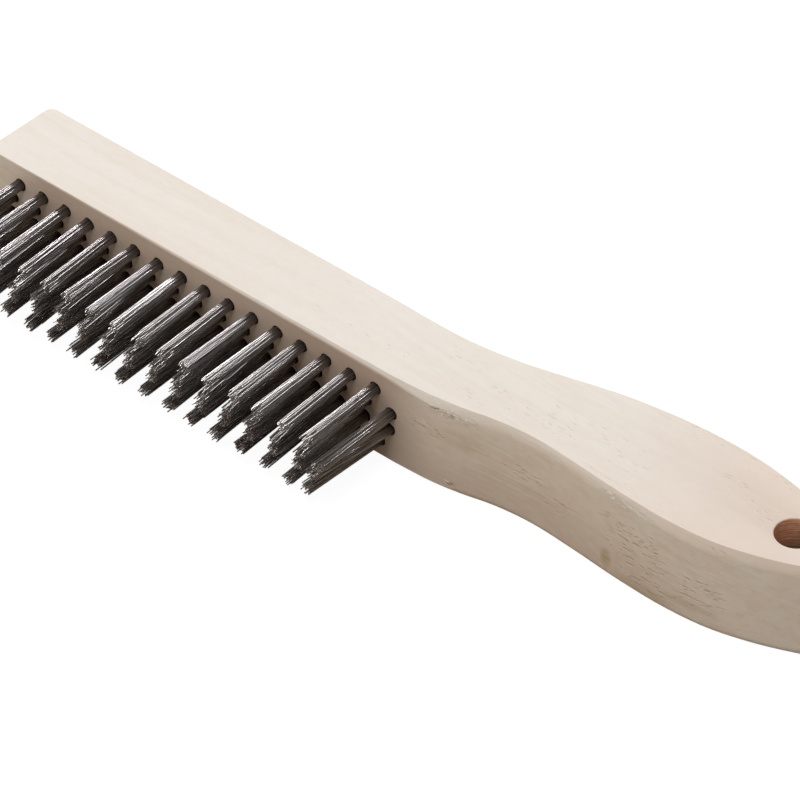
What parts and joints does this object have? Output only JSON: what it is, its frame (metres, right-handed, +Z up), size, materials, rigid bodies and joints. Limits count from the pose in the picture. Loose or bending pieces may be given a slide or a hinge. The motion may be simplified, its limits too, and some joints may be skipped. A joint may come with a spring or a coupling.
{
  "type": "wire scratch brush",
  "caption": "Shoe-handle wire scratch brush: raw wood block with an S-curved handle, a hanging hole and staggered rows of folded steel wire tufts.",
  "frame": {"origin": "centre of the base of the bounding box, on the lower side face of the block", "axes": "+X from the toe to the handle's end, +Y from the wire tips to the back of the block, +Z up through the block from side face to side face"},
  "size_m": [0.26, 0.0614, 0.0272],
  "materials": {
    "raw_wood": "raw sanded pale hardwood, unfinished, fine pores along the grain",
    "steel_wire": "drawn carbon steel wire, dark grey with bright streaks"
  },
  "bodies": {
    "root": {"wooden_block_handle": "raw_wood", "wire_tuft_pair_rows2_3_01": "steel_wire", "wire_tuft_pair_rows2_3_02": "steel_wire", "wire_tuft_pair_rows2_3_03": "steel_wire", "wire_tuft_pair_rows2_3_04": "steel_wire", "wire_tuft_pair_rows2_3_05": "steel_wire", "wire_tuft_pair_rows2_3_06": "steel_wire", "wire_tuft_pair_rows2_3_07": "steel_wire", "wire_tuft_pair_rows2_3_08": "steel_wire", "wire_tuft_pair_rows2_3_09": "steel_wire", "wire_tuft_pair_rows2_3_10": "steel_wire", "wire_tuft_pair_rows2_3_11": "steel_wire", "wire_tuft_pair_rows2_3_12": "steel_wire", "wire_tuft_pair_rows2_3_13": "steel_wire", "wire_tuft_pair_rows2_3_14": "steel_wire", "wire_tuft_pair_rows2_3_15": "steel_wire", "wire_tuft_pair_rows2_3_16": "steel_wire", "wire_tuft_pair_rows2_3_17": "steel_wire", "wire_tuft_row1_01": "steel_wire", "wire_tuft_row1_02": "steel_wire", "wire_tuft_row1_03": "steel_wire", "wire_tuft_row1_04": "steel_wire", "wire_tuft_row1_05": "steel_wire", "wire_tuft_row1_06": "steel_wire", "wire_tuft_row1_07": "steel_wire", "wire_tuft_row1_08": "steel_wire", "wire_tuft_row1_09": "steel_wire", "wire_tuft_row1_10": "steel_wire", "wire_tuft_row1_11": "steel_wire", "wire_tuft_row1_12": "steel_wire", "wire_tuft_row1_13": "steel_wire", "wire_tuft_row1_14": "steel_wire", "wire_tuft_row1_15": "steel_wire", "wire_tuft_row1_16": "steel_wire", "wire_tuft_row4_01": "steel_wire", "wire_tuft_row4_02": "steel_wire", "wire_tuft_row4_03": "steel_wire", "wire_tuft_row4_04": "steel_wire", "wire_tuft_row4_05": "steel_wire", "wire_tuft_row4_06": "steel_wire", "wire_tuft_row4_07": "steel_wire", "wire_tuft_row4_08": "steel_wire", "wire_tuft_row4_09": "steel_wire", "wire_tuft_row4_10": "steel_wire", "wire_tuft_row4_11": "steel_wire", "wire_tuft_row4_12": "steel_wire", "wire_tuft_row4_13": "steel_wire", "wire_tuft_row4_14": "steel_wire", "wire_tuft_row4_15": "steel_wire", "wire_tuft_row4_16": "steel_wire"}
  },
  "joints": []
}
